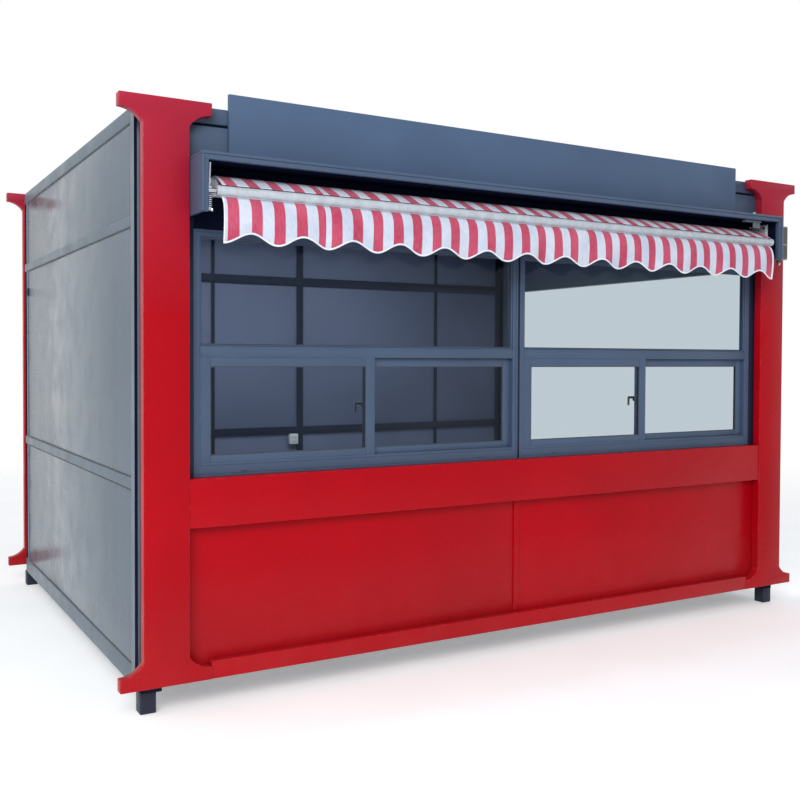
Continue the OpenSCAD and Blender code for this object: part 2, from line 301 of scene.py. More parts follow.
def striped_cloth(name):
    cloth = Finish(name)
    uv = cloth.add("ShaderNodeUVMap", uv_map="cut").outputs[0]
    along = cloth.axis("X", uv)
    waver = cloth.math("SUBTRACT", cloth.noise(9.0, 2.0, place=uv), 0.5)
    ragged = cloth.math("ADD", along, cloth.math("MULTIPLY", waver, 0.006))
    start = FIRST_RED[0]
    for seam, before, red in zip(SEAMS, FIRST_RED, FIRST_RED[1:]):
        beyond = cloth.math("GREATER_THAN", along, seam)
        start = cloth.math("ADD", cloth.math("MULTIPLY", beyond, red - before), start)
    turn = cloth.math("DIVIDE", cloth.math("SUBTRACT", ragged, start), STRIPE)
    share = cloth.math("FRACT", cloth.math("ADD", turn, 64.0))
    is_red = cloth.spread(share, 1.0, 0.0, 0.485, 0.515)
    rise = cloth.spread(share, 0.0, 1.0, 0.0, 0.02)
    is_red = cloth.math("MULTIPLY", is_red, rise)
    worn = cloth.spread(cloth.noise(7.0, 5.0, place=uv), 0.0, 1.0)
    red = cloth.blend(worn, tone(188, 46, 80), tone(208, 72, 104))
    white = cloth.blend(worn, tone(202, 213, 232), tone(222, 229, 242))
    weave = cloth.math("MULTIPLY", *[cloth.math("SINE", cloth.math("MULTIPLY", way, THREADS))
                                     for way in (along, cloth.axis("Y", uv))])
    colour = cloth.blend(is_red, white, red)
    thread = cloth.spread(cloth.noise(240.0, 2.0, (1.0, 0.15, 1.0), uv), 0.0, 0.22)
    colour = cloth.blend(thread, colour, tone(160, 150, 168))
    cloth.join(colour, cloth.shader.inputs["Base Color"])
    cloth.join(cloth.spread(cloth.noise(40.0, 3.0, place=uv), 0.72, 0.9), cloth.shader.inputs["Roughness"])
    cloth.shader.inputs["Specular IOR Level"].default_value = 0.2
    cloth.shader.inputs["Sheen Weight"].default_value = 0.15
    gap = cloth.math("MULTIPLY", *[cloth.spread(cloth.math("ABSOLUTE", cloth.math("SUBTRACT", along, s)),
                                                0.0, 1.0, 0.001, 0.004) for s in SEAMS])
    cloth.bump((gap, 0.6, 0.002), (weave, 0.25, 0.0004), (cloth.noise(16.0, 3.0, place=uv), 0.3, 0.004))
    return cloth.made


awning_cloth = striped_cloth("awning_cloth")


def tape_finish():
    tape = Finish("binding_tape")
    soil = tape.spread(tape.noise(30.0, 4.0), 0.0, 1.0)
    tape.join(tape.blend(soil, tone(226, 230, 240), tone(244, 246, 252)), tape.shader.inputs["Base Color"])
    tape.join(tape.spread(tape.noise(90.0), 0.7, 0.9), tape.shader.inputs["Roughness"])
    tape.bump((tape.noise(900.0, 2.0), 0.3, 0.0005))
    return tape.made


binding_tape = tape_finish()
print("cloth ready")

# %% [markdown]
# ## Making pieces
# Most of the cabin is folded sheet and square tube. Each bar starts as bmesh's cube,
# is scaled to its place and bevelled, so light catches its edges. The bevel faces get
# an attribute, rub, which the paints read to wear the edges. Frames are two loops
# bridged and extruded. A CAD node of the right shape is copied, merged and bevelled.

# %% Making pieces
def tag_layer(bm):
    return bm.faces.layers.float.get("rub") or bm.faces.layers.float.new("rub")


def soft_edges(bm, faces, width, segments=2, sharp=25.0):
    """Bevels the sharp edges among these faces, and tags the new faces."""
    if width <= 0:
        return
    edges = {e for f in faces for e in f.edges if e.is_manifold and e.calc_face_angle(0.0) > math.radians(sharp)}
    layer = tag_layer(bm)
    made = bmesh.ops.bevel(bm, geom=list(edges), offset=width, offset_type="OFFSET", segments=segments,
                           profile=0.5, affect="EDGES", material=-1, clamp_overlap=True)
    for face in made["faces"]:
        face[layer] = 1.0


def bar(bm, low, high, edge=0.002, finish=0, segments=2):
    """A bevelled block between two corners."""
    low, high = Vector(map(min, low, high)), Vector(map(max, low, high))
    verts = bmesh.ops.create_cube(bm, size=1.0)["verts"]
    size, middle = high - low, (low + high) / 2
    bmesh.ops.scale(bm, vec=size, verts=verts)
    bmesh.ops.translate(bm, vec=middle, verts=verts)
    faces = list({f for v in verts for f in v.link_faces})
    for face in faces:
        face.material_index = finish
    soft_edges(bm, faces, min(edge, min(size) * 0.4), segments)


def ring(bm, x, z, y, members, edge=0.0015, finish=0):
    """A frame that faces the front. x and z are its outside, y its depth, members
    the widths of its left, right, bottom and top."""
    left, right, bottom, top = members
    outer = [bm.verts.new((x[i], y[0], z[j])) for i, j in ((0, 0), (1, 0), (1, 1), (0, 1))]
    inside_x, inside_z = (x[0] + left, x[1] - right), (z[0] + bottom, z[1] - top)
    inner = [bm.verts.new((inside_x[i], y[0], inside_z[j])) for i, j in ((0, 0), (1, 0), (1, 1), (0, 1))]
    loops = []
    for verts in (outer, inner):
        loops += [bm.edges.new((verts[i], verts[(i + 1) % 4])) for i in range(4)]
    face = bmesh.ops.bridge_loops(bm, edges=loops)["faces"]
    pushed = bmesh.ops.extrude_face_region(bm, geom=face)["geom"]
    bmesh.ops.translate(bm, vec=(0, y[1] - y[0], 0), verts=[g for g in pushed if isinstance(g, bmesh.types.BMVert)])
    faces = {f for v in outer + inner for f in v.link_faces}
    every = list(faces | {g for g in pushed if isinstance(g, bmesh.types.BMFace)})
    for f in every:
        f.material_index = finish
    bmesh.ops.recalc_face_normals(bm, faces=every)
    soft_edges(bm, every, edge, 1)


def rod(bm, start, end, radius, sides=20, finish=0, end_edge=0.0, taper=1.0):
    """A round bar or disc from one point to another, with bevelled ends."""
    start, end = Vector(start), Vector(end)
    line = end - start
    made = bmesh.ops.create_cone(bm, cap_ends=True, segments=sides, radius1=radius,
                                 radius2=radius * taper, depth=line.length)
    turn = line.to_track_quat("Z", "Y").to_matrix().to_4x4()
    bmesh.ops.transform(bm, matrix=Matrix.Translation((start + end) / 2) @ turn, verts=made["verts"])
    faces = list({f for v in made["verts"] for f in v.link_faces})
    for face in faces:
        face.material_index = finish
    soft_edges(bm, faces, end_edge, 2, 60.0)


def place_piece(name, bm, finishes, slot, *stands_for, sharp=30.0):
    """Makes the object, shades it, parents it to the root, and hides the CAD parts it stands for."""
    mesh = bpy.data.meshes.new(name)
    bm.to_mesh(mesh)
    bm.free()
    for finish in finishes:
        mesh.materials.append(finish)
    for polygon in mesh.polygons:
        polygon.use_smooth = True
    mesh.set_sharp_from_angle(angle=math.radians(sharp))
    piece = bpy.data.objects.new(name, mesh)
    bpy.context.scene.collection.objects.link(piece)
    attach(piece, "root")
    if stands_for:
        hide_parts(*stands_for)
    print(f"{name}: {len(mesh.polygons)} faces")
    return piece


def copied(node):
    """A merged bmesh of a CAD node, with its flat faces whole again."""
    bm = bmesh.new()
    bm.from_mesh(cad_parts[node].data)
    bmesh.ops.remove_doubles(bm, verts=bm.verts[:], dist=0.00005)
    bmesh.ops.dissolve_limit(bm, angle_limit=math.radians(0.5), verts=bm.verts[:], edges=bm.edges[:])
    for face in bm.faces:
        face.material_index = 0
    return bm


def softened(node, name, finish, slot, edge=0.002, segments=2, sharp=25.0):
    """The CAD node's shape with bevelled edges."""
    bm = copied(node)
    soft_edges(bm, bm.faces[:], edge, segments, sharp)
    return place_piece(name, bm, [finish], slot, node)


print("piece helpers ready")

# %% [markdown]
# ## Steel carcass
# Feet, corner posts, base ring, jambs, header and roof beams are square tube welded
# into a cage. Their shapes are right in the model, so each is copied and its edges
# softened by a few millimetres, as rolled tube has.

# %% Steel carcass
for node, name, finish, slot, edge in (
    ("feet", "foot_posts", navy_paint, "navy_steel", 0.005),
    # The corner tubes and the header take the darker navy, painted shade for the gap at the corners and the space
    # under the hood.
    ("corner_posts", "corner_tubes", navy_painted_shade, "navy_steel", 0.004),
    ("front_jambs", "jamb_tubes", navy_paint, "navy_steel", 0.003),
    ("front_header", "header_tube", navy_painted_shade, "navy_steel", 0.003),
    ("base_frame", "base_ring", navy_paint, "navy_steel", 0.004),
    ("front_top_beam", "front_beam", slate_paint, "slate_steel", 0.005),
    ("rear_top_beam", "rear_beam", slate_paint, "slate_steel", 0.005),
    ("fascia_panel", "fascia_sheet", slate_paint, "slate_steel", 0.0015),
    ("front_lower_wall", "counter_wall", inner_paint, "grey_sheet", 0.003),
    ("rear_studs", "rear_wall_ribs", navy_paint, "navy_steel", 0.003),
):
    softened(node, name, finish, slot, edge)

# %% [markdown]
# ## Red front
# The columns are steel boxes cut to an I shape with curved flares, and the rail
# under the windows and the rail at the ground join them flush. The apron panels sit
# back behind them. A copied node with a bevel keeps the curves of the flares exact.

# %% Red front
for side in ("front_left", "front_right", "rear_left", "rear_right"):
    softened(f"column_{side}", f"red_column_{side}", red_paint, "red_sheet", 0.003)
softened("front_rail", "sill_rail", red_paint, "red_sheet", 0.003)
softened("bottom_rail", "ground_rail", red_paint, "red_sheet", 0.003)
softened("apron_panels", "apron_sheets", red_paint, "red_sheet", 0.0025)
softened("apron_strip", "apron_joint_strip", red_paint, "red_sheet", 0.002)

# %% [markdown]
# ## Side and rear walls
# Each wall is a frame of painted tube with flat sheets let in between. The sheets sit a
# few millimetres back, and a black rubber strip along each rail is painted shade for the
# shadow gap there, which reads as a thin dark line. Bars for posts and rails keep their
# welded joints; the sheets are copied from the model, with their inner face given the inside paint.

# %% Wall helpers
def lined(node, name, slot, outside, inside, inward, edge=0.0015):
    """The CAD node's shape, with the faces that look inward in the inside paint."""
    bm = copied(node)
    soft_edges(bm, bm.faces[:], edge)
    bm.normal_update()
    for face in bm.faces:
        if face.normal.dot(Vector(inward)) > 0.9:
            face.material_index = 1
    return place_piece(name, bm, [outside, inside], slot, node)


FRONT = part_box("column_front_left")[0].y
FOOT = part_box("column_front_left")[0].z
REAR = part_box("column_rear_left")[1].y
LOW_RAIL, HIGH_RAIL = (0.828, 0.878), (1.974, 2.022)
SIDE_POST = 0.100
SHADE_STRIP = 0.007
COLUMN_GAP_SHADE = 0.042
PLATE = (1.806, 1.858)


def along_wall(node):
    low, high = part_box(node)
    return low, high, low.y + SIDE_POST, high.y - SIDE_POST


# Black strips along the wall at these heights, painted shade for the shadow gaps at the rails.
def shade_strip_lines(bm, face_x, s, y_ends, heights):
    for up in heights:
        z = FOOT + up
        bar(bm, (face_x - s * 0.006, y_ends[0], z), (face_x - s * 0.0012, y_ends[1], z + SHADE_STRIP), 0.001)


print("wall starts", round(FRONT, 3), "ends", round(REAR, 3), "foot", round(FOOT, 3))

# %% [markdown]
# ## Left wall
# The left wall has two posts and four rails, with three rows of sheet. Its front post
# meets the column over a dark strip, painted shade for the open gap between them, and a
# small dark plate sits near the rear. Bars placed in a loop over the rail heights keep
# the rows in line.

# %% Left wall
low, high, first, last = along_wall("left_wall_frame")
bm = bmesh.new()
bar(bm, low, (high.x, first, high.z), 0.003)
bar(bm, (low.x, last, low.z), (high.x, last + 0.030, high.z), 0.003)
bar(bm, (low.x + 0.016, last + 0.031, low.z), (high.x, high.y, high.z - 0.002), 0.003, 1)
top_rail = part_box("front_top_beam")[0].z
for z in ((low.z, FOOT + 0.055), [FOOT + v for v in LOW_RAIL], [FOOT + v for v in HIGH_RAIL], (top_rail, high.z)):
    bar(bm, (low.x, first + 0.0005, z[0]), (high.x, last - 0.0005, z[1]), 0.003)
    bar(bm, (low.x + 0.001, last + 0.0305, z[0]), (low.x + 0.0155, high.y, z[1]), 0.003)
place_piece("left_wall_bars", bm, [post_paint, navy_paint], "grey_sheet", "left_wall_frame")
lined("left_wall_panels", "left_wall_sheets", "grey_sheet", grey_paint, inner_paint, (1, 0, 0))

bm = bmesh.new()
# Black strips at the rails, painted shade for their shadow gaps.
shade_strip_lines(bm, low.x, -1, (first, last),
           (0.055, LOW_RAIL[0] - SHADE_STRIP, LOW_RAIL[1], HIGH_RAIL[0] - SHADE_STRIP, top_rail - FOOT - SHADE_STRIP))
# A dark strip down the front post, painted shade for the open gap between the wall and the column.
bar(bm, (low.x - 0.0004, low.y, low.z + 0.002),
    (low.x + 0.002, low.y + COLUMN_GAP_SHADE, high.z - 0.002), 0.0008, 1)
bar(bm, (low.x - 0.0002, last - 0.016, FOOT + PLATE[0]), (low.x + 0.004, last + 0.004, FOOT + PLATE[1]), 0.001)
rod(bm, (low.x - 0.001, last - 0.018, FOOT + 1.806), (low.x - 0.001, last - 0.018, FOOT + 1.858), 0.005, 12, 0, 0.001)
place_piece("left_wall_shade_strips_and_plate", bm, [rubber, navy_painted_shade], "navy_steel")

# %% [markdown]
# ## Right end
# The right end has no leaf: two posts, a sill and a head rail frame a wide doorway, and
# one strip of sheet closes the space over it. The sill carries a plated tread strip.

# %% Right end and its open doorway
low, high, first, last = along_wall("right_wall_frame")
panel_low, panel_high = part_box("right_wall_panel")
bm = bmesh.new()
for ends in ((low.y, first), (last, high.y)):
    bar(bm, (low.x, ends[0], low.z), (high.x, ends[1], high.z), 0.003)
for z in ((low.z, FOOT + 0.055), (FOOT + HIGH_RAIL[0], panel_low.z), (panel_high.z, high.z)):
    bar(bm, (low.x, first + 0.0005, z[0]), (high.x, last - 0.0005, z[1]), 0.003)
bar(bm, (low.x + 0.004, first, FOOT + 0.055), (high.x - 0.004, last, FOOT + 0.059), 0.001, 1)
place_piece("right_wall_bars", bm, [post_paint, plated], "grey_sheet", "right_wall_frame")
lined("right_wall_panel", "right_wall_sheet", "grey_sheet", grey_paint, inner_paint, (-1, 0, 0))
bm = bmesh.new()
# Black strips at the sheet's lower and upper edges, painted shade for the shadow gaps there.
shade_strip_lines(bm, high.x, 1, (first, last), (panel_low.z - FOOT, panel_high.z - FOOT - SHADE_STRIP))
place_piece("right_wall_shade_strips", bm, [rubber], "navy_steel")

# %% [markdown]
# ## Rear wall
# The rear wall repeats the rows of the left wall, split in two by a post. Its inside
# shows dark ribs and rails against paler sheets, so it is copied and painted in two.

# %% Rear wall
lined("rear_wall_frame", "rear_wall_bars", "grey_sheet", post_paint, navy_paint, (0, -1, 0), 0.003)
lined("rear_wall_panels", "rear_wall_sheets", "grey_sheet", grey_paint, inner_paint, (0, -1, 0))
low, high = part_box("rear_wall_panels")
bm = bmesh.new()
# A black ring round each sheet, painted shade for the shadow gaps at its edges.
for x in ((low.x, -0.024), (0.024, high.x)):
    for z in ((low.z, FOOT + LOW_RAIL[0]), (FOOT + LOW_RAIL[1], FOOT + HIGH_RAIL[0]),
              (FOOT + HIGH_RAIL[1], high.z)):
        ring(bm, x, z, (high.y - 0.001, high.y + 0.0022), (SHADE_STRIP,) * 4, 0.0008)
place_piece("rear_wall_shade_strips", bm, [rubber], "navy_steel")
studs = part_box("rear_studs")
# Two narrow dark strips down the inside of the rear wall.
DARK_LINE_X = (-0.697, 1.243)
bm = bmesh.new()
for x in DARK_LINE_X:
    bar(bm, (x - 0.012, studs[1].y - 0.006, studs[0].z), (x + 0.012, studs[1].y, studs[1].z - 0.002), 0.001)
place_piece("rear_dark_strips", bm, [navy_paint], "navy_steel")

# %% [markdown]
# ## Roof and floor
# The roof is ribbed sheet laid front to back so that rain runs off, between the two
# beams. The floor is a patterned sheet on a board. The ribs are bars with a wide bevel,
# repeated by a loop; the floor's pattern is fine enough to leave to its bump.

# %% Roof and floor
low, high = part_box("roof_panel")
RIB, RIB_STEP = 0.016, 0.243
bm = bmesh.new()
bar(bm, low, (high.x, high.y, high.z - RIB), 0.002)
bm.normal_update()
for face in bm.faces:
    if face.normal.z < -0.9:
        face.material_index = 1
count = int((high.x - low.x) / RIB_STEP)
for i in range(count + 1):
    x = (low.x + high.x) / 2 + (i - count / 2) * RIB_STEP
    bar(bm, (x - 0.024, low.y, high.z - RIB - 0.001), (x + 0.024, high.y, high.z), 0.007, 0, 3)
for ends in ((low.y, low.y + 0.04), (high.y - 0.04, high.y)):
    bar(bm, (low.x, ends[0], high.z - 0.010), (high.x, ends[1], high.z - 0.006), 0.001)
place_piece("ribbed_roof", bm, [roof_paint, inner_paint], "grey_sheet", "roof_panel")


TREAD = 210.0


def floor_finish():
    sheet = Finish("patterned_floor")
    low_gloss = sheet.spread(sheet.noise(4.0, 5.0), 0.0, 1.0)
    sheet.join(sheet.blend(low_gloss, tone(100, 104, 110), tone(111, 114, 119)), sheet.shader.inputs["Base Color"])
    sheet.join(sheet.spread(sheet.noise(12.0, 4.0), 0.42, 0.62), sheet.shader.inputs["Roughness"])
    tread = sheet.math("MULTIPLY", *[sheet.math("SINE", sheet.math("MULTIPLY", sheet.axis(way), TREAD))
                                     for way in "XY"])
    sheet.bump((sheet.spread(tread, 0.0, 1.0, 0.55, 0.75), 0.5, 0.0015), (sheet.noise(300.0), 0.1, 0.0004))
    return sheet.made


softened("floor_panel", "floor_board", floor_finish(), "floor_sheet", 0.002)

# %% [markdown]
# ## Sign board
# The long board over the hood is one folded sheet: a flat face with its four edges
# turned back, standing on battens. It carries no lettering. A bar makes the face and
# four thin bars the returns, so the board shows a real edge from the side.

# %% Sign board
low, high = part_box("sign_board")
RETURN, FOLD = 0.018, 0.0016
bm = bmesh.new()
bar(bm, low, high, 0.0014)
for a, b in (((low.x, low.z), (low.x + FOLD, high.z)), ((high.x - FOLD, low.z), (high.x, high.z)),
             ((low.x, high.z - FOLD), (high.x, high.z)), ((low.x, low.z), (high.x, low.z + FOLD))):
    bar(bm, (a[0], high.y - 0.0005, a[1]), (b[0], high.y + RETURN, b[1]), 0.0004)
place_piece("sign_tray", bm, [sign_paint], "slate_steel", "sign_board")
softened("sign_battens", "sign_uprights", navy_paint, "navy_steel", 0.002)

# %% [markdown]
# ## Awning hood
# The hood is a shallow box with no floor. Its mouth is trimmed with a stepped
# profile: a narrow outer lip, a shadow line, and a wider inner lip set back. The inside
# is a darker navy with no reflection, painted shade. Bars of different depths make the
# steps, so the line catches light by itself.

# %% Awning hood
LIP, STEP, SKIN = 0.012, 0.004, 0.014
low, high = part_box("hood_top_panel")
bm = bmesh.new()
bar(bm, (low.x, low.y, high.z - LIP), (high.x, low.y + 0.020, high.z), 0.0016)
bar(bm, (low.x + LIP, low.y + STEP, low.z), (high.x - LIP, low.y + 0.030, high.z - LIP - 0.0006), 0.0016)
bar(bm, (low.x, low.y + 0.0204, high.z - SKIN), (high.x, high.y, high.z - 0.0004), 0.001)
bar(bm, (low.x + LIP, low.y + 0.0304, low.z), (high.x - LIP, high.y, high.z - SKIN - 0.0004), 0.001, 1)
place_piece("hood_roof", bm, [slate_paint, navy_painted_shade], "slate_steel", "hood_top_panel")

for side, s in (("left", -1), ("right", 1)):
    low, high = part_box(f"hood_end_{side}")
    out, inn = (low.x, high.x) if s < 0 else (high.x, low.x)
    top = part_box("hood_top_panel")[1].z
    bm = bmesh.new()
    bar(bm, (out, low.y, low.z), (out - s * LIP, low.y + 0.020, top - LIP - 0.0004), 0.0016)
    bar(bm, (out - s * (LIP + 0.0006), low.y + STEP, low.z), (inn, low.y + 0.030, high.z), 0.0016)
    bar(bm, (out, low.y + 0.0204, low.z), (out - s * SKIN, high.y, top - SKIN - 0.0004), 0.001)
    bar(bm, (out - s * (SKIN + 0.0004), low.y + 0.0304, low.z), (inn, high.y, high.z), 0.001, 1)
    for y, z in ((0.35, 0.12), (0.35, 0.88), (0.8, 0.12), (0.8, 0.88)):
        spot = Vector((out, low.y + (high.y - low.y) * y, low.z + (high.z - low.z) * z))
        rod(bm, spot, spot + Vector((s * 0.0016, 0, 0)), 0.006, 16, 0, 0.0006)
    place_piece(f"hood_end_plate_{side}", bm, [slate_paint, navy_painted_shade], "slate_steel", f"hood_end_{side}")

# %% [markdown]
# ## Window units
# Each unit is an aluminium frame: a fixed light above a rail, and below it two sliding
# sashes on a double track. Real profiles are stepped, with a bead and a black gasket
# round each pane. Rings of decreasing width, each set further back, give the steps; the
# sashes are stiles and rails with a hairline joint, as they are screwed together.

# %% Window frames
FACE, BEAD, GASKET = 0.030, 0.008, 0.0035
STILE, SASH_RAIL, LAP = 0.048, 0.042, 0.046
sash_low, sash_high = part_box("outer_sashes")
inner_low, inner_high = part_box("inner_sashes")
TRANSOM = 0.048
fixed_y = (FRONT + 0.082, FRONT + 0.087)
for side in ("left", "right"):
    low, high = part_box(f"window_frame_{side}")
    sill = sash_low.z - low.z
    top_of_track = sash_high.z
    light_z = (top_of_track + TRANSOM, high.z - FACE)
    light_x = (low.x + FACE, high.x - FACE)
    bm = bmesh.new()
    ring(bm, (low.x, high.x), (low.z, high.z), (low.y, high.y), (0.010,) * 4, 0.0012)
    ring(bm, (low.x + 0.0102, high.x - 0.0102), (low.z + 0.0102, high.z - 0.0102), (low.y + 0.003, high.y - 0.001),
         (FACE - 0.0102, FACE - 0.0102, sill - 0.0102, FACE - 0.0102), 0.0014)
    bar(bm, (light_x[0], low.y + 0.002, top_of_track), (light_x[1], high.y - 0.001, light_z[0]), 0.0016)
    bar(bm, (light_x[0], low.y + 0.0005, top_of_track + 0.010), (light_x[1], low.y + 0.004, light_z[0] - 0.010), 0.001)
    ring(bm, light_x, light_z, (fixed_y[0] - 0.012, fixed_y[0] - 0.0045), (BEAD,) * 4, 0.0016)
    ring(bm, light_x, light_z, (fixed_y[0] - 0.0044, fixed_y[0]), (BEAD + GASKET,) * 4, 0.0006, 1)
    ring(bm, light_x, light_z, (fixed_y[1], fixed_y[1] + 0.012), (BEAD,) * 4, 0.0016)
    for y in (sash_low.y - 0.0022, (sash_high.y + inner_low.y) / 2 - 0.0008, inner_high.y + 0.0006):
        bar(bm, (light_x[0], y, sash_low.z - 0.0005), (light_x[1], y + 0.0016, sash_low.z + 0.010), 0.0004, 0)
    for share in (0.12, 0.88):
        x = light_x[0] + (light_x[1] - light_x[0]) * share
        bar(bm, (x - 0.018, low.y + 0.0015, low.z + 0.016), (x + 0.018, low.y + 0.0034, low.z + 0.021), 0.0006, 1)
    place_piece(f"window_surround_{side}", bm, [slate_paint, rubber], "slate_aluminium", f"window_frame_{side}")
softened("mullion_bar", "mullion_post", navy_paint, "navy_steel", 0.002)

# %% [markdown]
# ## Sliding sashes
# Each lower opening holds two sashes in parallel tracks, so the inner one passes behind
# the outer one. Each is a ring of narrow profile round a pane with a rubber gasket.

# %% Sliding sashes
def sash(bm, x, z, y, glass_y):
    for a, b in ((x[0], x[0] + STILE), (x[1] - STILE, x[1])):
        bar(bm, (a, y[0], z[0]), (b, y[1], z[1]), 0.0018)
    for a, b in ((z[0], z[0] + SASH_RAIL), (z[1] - SASH_RAIL, z[1])):
        bar(bm, (x[0] + STILE + 0.0004, y[0] + 0.001, a), (x[1] - STILE - 0.0004, y[1] - 0.001, b), 0.0018)
    opening_x, opening_z = (x[0] + STILE, x[1] - STILE), (z[0] + SASH_RAIL, z[1] - SASH_RAIL)
    for near, far in ((y[0] + 0.0025, glass_y[0]), (glass_y[1], y[1] - 0.0025)):
        ring(bm, opening_x, opening_z, (near, far), (GASKET,) * 4, 0.0006, 1)


for node, name, lap in (("outer_sashes", "outer_sash", 0), ("inner_sashes", "inner_sash", 1)):
    low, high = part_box(node)
    glass_y = ((low.y + high.y) / 2 - 0.0025, (low.y + high.y) / 2 + 0.0025)
    bm = bmesh.new()
    for side in ("left", "right"):
        frame_low, frame_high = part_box(f"window_frame_{side}")
        inside = frame_high.x - frame_low.x - 2 * FACE
        wide = (inside + LAP) / 2
        start = frame_low.x + FACE + lap * (wide - LAP)
        sash(bm, (start, start + wide), (low.z, high.z), (low.y, high.y), glass_y)
    place_piece(f"{name}_pair", bm, [slate_paint, rubber], "slate_aluminium", node)
print("sash width", round(wide, 3))

# %% [markdown]
# ## Latches
# A small hook on the meeting stile locks the sashes. Three short bars and a pivot rod
# make it, because a hook this small shows only its outline.

# %% Latches
bm = bmesh.new()
for side in ("left", "right"):
    frame_low, frame_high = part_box(f"window_frame_{side}")
    hook_x = frame_low.x + FACE + wide - LAP
    y, z = inner_high.y, (sash_low.z + sash_high.z) / 2 + 0.006
    bar(bm, (hook_x + 0.006, y - 0.001, z - 0.045), (hook_x + 0.030, y + 0.006, z + 0.045), 0.002)
    rod(bm, (hook_x + 0.016, y + 0.005, z), (hook_x + 0.016, y + 0.020, z), 0.011, 20, 0, 0.002)
    bar(bm, (hook_x - 0.034, y + 0.010, z + 0.004), (hook_x + 0.018, y + 0.018, z + 0.018), 0.003)
    bar(bm, (hook_x - 0.036, y + 0.010, z - 0.034), (hook_x - 0.024, y + 0.018, z + 0.016), 0.003)
place_piece("sash_latches", bm, [rubber], "navy_steel")

# %% [markdown]
# ## Folding-arm awning
# The cloth leaves its roll at the back of the hood, runs forward to a round front bar,
# and hangs from it as a scalloped valance. It is shut here, so only a short strip shows
# above the bar. The arms fold flat behind the bar and carry it from two side brackets.
# Turned parts are rods with bevelled ends, and the rest are bars.

# %% Roll, bar and arms
def map_cut(bm):
    """Gives each corner the distance along the bar and its height, for the stripes."""
    layer = bm.loops.layers.uv.get("cut") or bm.loops.layers.uv.new("cut")
    for face in bm.faces:
        for loop in face.loops:
            loop[layer].uv = (loop.vert.co.x, loop.vert.co.z)


low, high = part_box("awning_roller")
roll_axis = Vector((0, (low.y + high.y) / 2, (low.z + high.z) / 2))
roll_radius = (high.z - low.z) / 2
bar_low, bar_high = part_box("awning_front_bar")
bar_axis = Vector((0, (bar_low.y + bar_high.y) / 2, (bar_low.z + bar_high.z) / 2))
bar_radius = (bar_high.z - bar_low.z) / 2
cloth_low, cloth_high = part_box("awning_valance")


def rod_along(bm, start, end, axis, *shape):
    """A rod along X, from start to end, on the given axis."""
    rod(bm, (start, axis.y, axis.z), (end, axis.y, axis.z), *shape)


bm = bmesh.new()
rod_along(bm, cloth_low.x, cloth_high.x, roll_axis, roll_radius * 0.985, 40, 0, 0.004)
for s in (-1, 1):
    end = high.x * s
    rod_along(bm, cloth_high.x * s, end - s * 0.012, roll_axis, 0.030, 28, 1, 0.002)
    rod_along(bm, end - s * 0.012, end, roll_axis, roll_radius * 0.9, 28, 1, 0.003)
map_cut(bm)
place_piece("rolled_cloth", bm, [awning_cloth, enamel], "striped_cloth", "awning_roller")

bm = bmesh.new()
rod_along(bm, bar_low.x + 0.010, bar_high.x - 0.010, bar_axis, bar_radius - 0.0015, 40, 0, 0.001)
for s in (-1, 1):
    end = bar_high.x * s
    rod_along(bm, end - s * 0.016, end, bar_axis, bar_radius, 36, 0, 0.005)
    rod_along(bm, end - s * 0.001, end + s * 0.002, bar_axis, 0.006, 16, 1, 0.001)
for drop in (0.0, 0.010):
    back = bar_axis.y + drop * 0.7
    bar(bm, (cloth_low.x, back - 0.006, bar_low.z - 0.0015), (cloth_high.x, back - 0.0035, bar_low.z + 0.007), 0.0006)
# The bar's greyer enamel is painted shade.
place_piece("front_bar", bm, [shaded_bar_enamel, plated], "white_metal", "awning_front_bar")

low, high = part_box("awning_arms")
ARM_LONG = 0.740
bm = bmesh.new()
for s in (-1, 1):
    root_x, elbow_x = s * high.x, s * (high.x - ARM_LONG)
    back = high.y
    bar(bm, (root_x - s * 0.03, back - 0.025, bar_axis.z - 0.016), (elbow_x, back, bar_axis.z + 0.016), 0.005, 0, 3)
    bar(bm, (elbow_x, low.y, bar_axis.z - 0.012), (elbow_x + s * 0.06, back - 0.024, bar_axis.z + 0.012), 0.004, 0, 3)
    for x in (root_x - s * 0.022, elbow_x + s * 0.012):
        rod(bm, (x, back - 0.0125, bar_axis.z - 0.021), (x, back - 0.0125, bar_axis.z + 0.021), 0.015, 24, 0, 0.003)
        rod(bm, (x, back - 0.0125, bar_axis.z - 0.024), (x, back - 0.0125, bar_axis.z + 0.024), 0.006, 6, 1, 0.001)
place_piece("folding_arms", bm, [enamel, plated], "white_metal", "awning_arms")

# %% [markdown]
# ## Side brackets and levers
# A plate at each end of the hood carries the roller. At the left end a lever holds the
# bar, with a tension spring under it, and the winding gear sits outside on the right.

# %% Side brackets and their levers
low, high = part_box("awning_brackets")
bm = bmesh.new()
for s in (-1, 1):
    wall, face = s * high.x, s * (high.x - 0.008)
    bar(bm, (wall, low.y, low.z), (face, high.y, high.z), 0.0025)
    bar(bm, (face, low.y + 0.006, low.z + 0.006), (s * (high.x - 0.012), low.y + 0.016, high.z - 0.006), 0.0015)
    for y, z in ((0.16, 0.14), (0.16, 0.86), (0.86, 0.14), (0.86, 0.86)):
        spot = Vector((face, low.y + (high.y - low.y) * y, low.z + (high.z - low.z) * z))
        rod(bm, spot, spot - Vector((s * 0.005, 0, 0)), 0.008, 6, 1, 0.001)
place_piece("awning_side_plates", bm, [enamel, plated], "white_metal", "awning_brackets")

